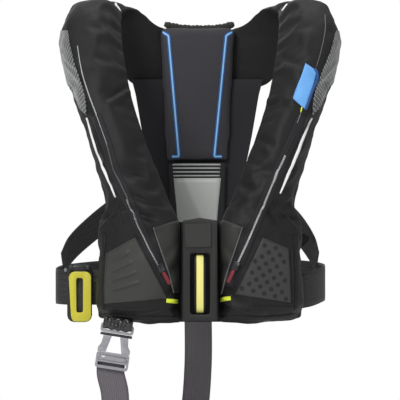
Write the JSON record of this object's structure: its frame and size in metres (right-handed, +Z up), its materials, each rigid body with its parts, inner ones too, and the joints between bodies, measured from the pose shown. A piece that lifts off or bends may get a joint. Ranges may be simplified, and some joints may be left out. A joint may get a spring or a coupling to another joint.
{
  "type": "inflatable life jacket",
  "caption": "Worn inflatable life jacket with padded front lobes, built-in deck harness, side release buckle, waist belt, back pad and crotch strap with a clip.",
  "frame": {"origin": "top of the binding at the back of the neck, where the jacket hangs", "axes": "+Z up, -Y to the front of the wearer, +X to the left of the wearer"},
  "size_m": [0.4143, 0.2871, 0.6895],
  "materials": {
    "cover_cloth": "matt ripstop nylon",
    "lining_cloth": "smooth navy-black lining",
    "bladder_film": "coated yellow film",
    "pad_cloth": "charcoal padded cloth",
    "lumbar_cloth": "black padded cloth",
    "binding_cloth": "gathered binding",
    "zip_tape_cloth": "woven zip tape",
    "mesh_cloth": "open spacer mesh",
    "white_piping": "white reflective piping",
    "panel_cloth": "smooth coated cloth",
    "grip_rubber": "printed grip cloth",
    "neon_thread": "dense satin stitch",
    "label_cloth": "woven label",
    "loop_webbing": "black harness webbing",
    "marker_cloth": "yellow marker tape",
    "reflective_cloth": "retro-reflective grey",
    "blue_trim": "blue welded trim",
    "buckle_black": "black moulding",
    "buckle_yellow": "yellow moulding",
    "pin_steel": "stainless pin",
    "clip_metal": "satin silver",
    "crotch_webbing": "grey ribbed webbing",
    "zip_metal": "dark painted zip slider",
    "pull_cloth": "dark red cord tag",
    "cylinder_steel": "zinc-plated steel",
    "toggle_red": "red moulding"
  },
  "bodies": {
    "root": {"cover_right": "cover_cloth", "cover_left": "cover_cloth", "cover_collar": "cover_cloth", "hem_right": "cover_cloth", "hem_left": "cover_cloth", "centre_panel": "cover_cloth", "liner_right": "lining_cloth", "liner_left": "lining_cloth", "liner_collar": "lining_cloth", "back_yoke": "lining_cloth", "bladder": "bladder_film", "back_pad": "pad_cloth", "lumbar_pad": "lumbar_cloth", "collar_binding": "binding_cloth", "zip_tape_right": "zip_tape_cloth", "zip_tape_left": "zip_tape_cloth", "mesh_wing_right": "mesh_cloth", "mesh_wing_left": "mesh_cloth", "piping_right": "white_piping", "piping_left": "white_piping", "shoulder_piping_right": "white_piping", "shoulder_piping_left": "white_piping", "gusset_right": "panel_cloth", "gusset_left": "panel_cloth", "pocket_patch": "panel_cloth", "grip_patch": "grip_rubber", "bar_tack_right": "neon_thread", "bar_tack_left": "neon_thread", "back_webbing": "loop_webbing", "belt_right": "loop_webbing", "belt_left": "loop_webbing", "side_strap_right": "loop_webbing", "side_strap_left": "loop_webbing", "crotch_anchor": "loop_webbing", "back_reflector": "reflective_cloth", "blue_trim_right": "blue_trim", "blue_trim_left": "blue_trim", "release_base": "buckle_black", "socket_bar": "buckle_black", "inflator_body": "buckle_black", "oral_tube": "buckle_black", "release_pin": "pin_steel", "crotch_socket": "clip_metal"},
    "lever": {"release_lever": "buckle_yellow"},
    "crotch_clip": {"crotch_plug": "clip_metal", "crotch_strap": "crotch_webbing"},
    "arm_right": {"plug_arm_right": "clip_metal"},
    "arm_left": {"plug_arm_left": "clip_metal"},
    "zip_right": {"zip_slider_right": "zip_metal"},
    "zip_left": {"zip_slider_left": "zip_metal"},
    "tag_right": {"zip_pull_right": "pull_cloth"},
    "tag_left": {"zip_pull_left": "pull_cloth"},
    "loop": {"soft_loop": "loop_webbing", "loop_marker": "marker_cloth"},
    "label": {"label_tab": "label_cloth"},
    "cylinder": {"gas_cylinder": "cylinder_steel"},
    "cap": {"inflator_cap": "buckle_yellow"},
    "firing": {"firing_lever": "toggle_red"},
    "toggle": {"pull_toggle": "toggle_red"},
    "oral_lid": {"oral_cap": "buckle_yellow"}
  },
  "joints": [
    {"name": "lever_hinge", "type": "hinge", "parent": "root", "child": "lever", "pos_m": [-0.174, -0.1731, -0.352], "axis": [-1, 0, 0], "range_deg": [0, 95]},
    {"name": "crotch_release", "type": "slide", "parent": "root", "child": "crotch_clip", "axis": [-0.1564, 0, -0.9877], "range_m": [0, 0.035]},
    {"name": "arm_right_squeeze", "type": "hinge", "parent": "crotch_clip", "child": "arm_right", "pos_m": [-0.14175, -0.222, -0.47105], "axis": [0, 1, 0], "range_deg": [0, 5], "stiffness_Nm_per_rad": 0.5},
    {"name": "arm_left_squeeze", "type": "hinge", "parent": "crotch_clip", "child": "arm_left", "pos_m": [-0.10718, -0.222, -0.47653], "axis": [0, 1, 0], "range_deg": [-5, 0], "stiffness_Nm_per_rad": 0.5},
    {"name": "zip_right_slide", "type": "slide", "parent": "root", "child": "zip_right", "axis": [-0.4786, -0.059, 0.8761], "range_m": [0, 0.04]},
    {"name": "zip_left_slide", "type": "slide", "parent": "root", "child": "zip_left", "axis": [0.429, -0.1052, 0.8972], "range_m": [0, 0.04]},
    {"name": "tag_right_hinge", "type": "hinge", "parent": "zip_right", "child": "tag_right", "pos_m": [-0.05307, -0.26242, -0.35766], "axis": [-0.8553, -0.1941, -0.4803], "range_deg": [0, 50]},
    {"name": "tag_left_hinge", "type": "hinge", "parent": "zip_left", "child": "tag_left", "pos_m": [0.04859, -0.26082, -0.3548], "axis": [-0.851, 0.286, 0.4404], "range_deg": [0, 50]},
    {"name": "loop_swivel", "type": "hinge", "parent": "root", "child": "loop", "pos_m": [0, -0.2385, -0.375], "axis": [0, 0, 1], "range_deg": [-10, 10]},
    {"name": "label_flap", "type": "hinge", "parent": "root", "child": "label", "pos_m": [0.15974, -0.20852, -0.09727], "axis": [0.2758, 0.4216, 0.8638], "range_deg": [0, 100], "stiffness_Nm_per_rad": 0.002},
    {"name": "cylinder_unscrew", "type": "hinge", "parent": "root", "child": "cylinder", "pos_m": [-0.09925, -0.22135, -0.343], "axis": [0, 0, -1], "range_deg": [0, 720]},
    {"name": "cap_twist", "type": "hinge", "parent": "root", "child": "cap", "pos_m": [-0.11895, -0.21409, -0.303], "axis": [0.9383, -0.3459, 0], "range_deg": [0, 90]},
    {"name": "toggle_pull", "type": "slide", "parent": "root", "child": "toggle", "axis": [0, 0, -1], "range_m": [0, 0.014]},
    {"name": "firing_swing", "type": "hinge", "parent": "root", "child": "firing", "pos_m": [-0.08189, -0.22775, -0.292], "axis": [-0.9383, 0.3459, 0], "range_deg": [0, 50]},
    {"name": "oral_lid_lift", "type": "slide", "parent": "root", "child": "oral_lid", "axis": [0, 0, 1], "range_m": [0, 0.012]}
  ],
  "couplings": [
    {"joint": "arm_left_squeeze", "follows": "arm_right_squeeze", "ratio": -1}
  ]
}
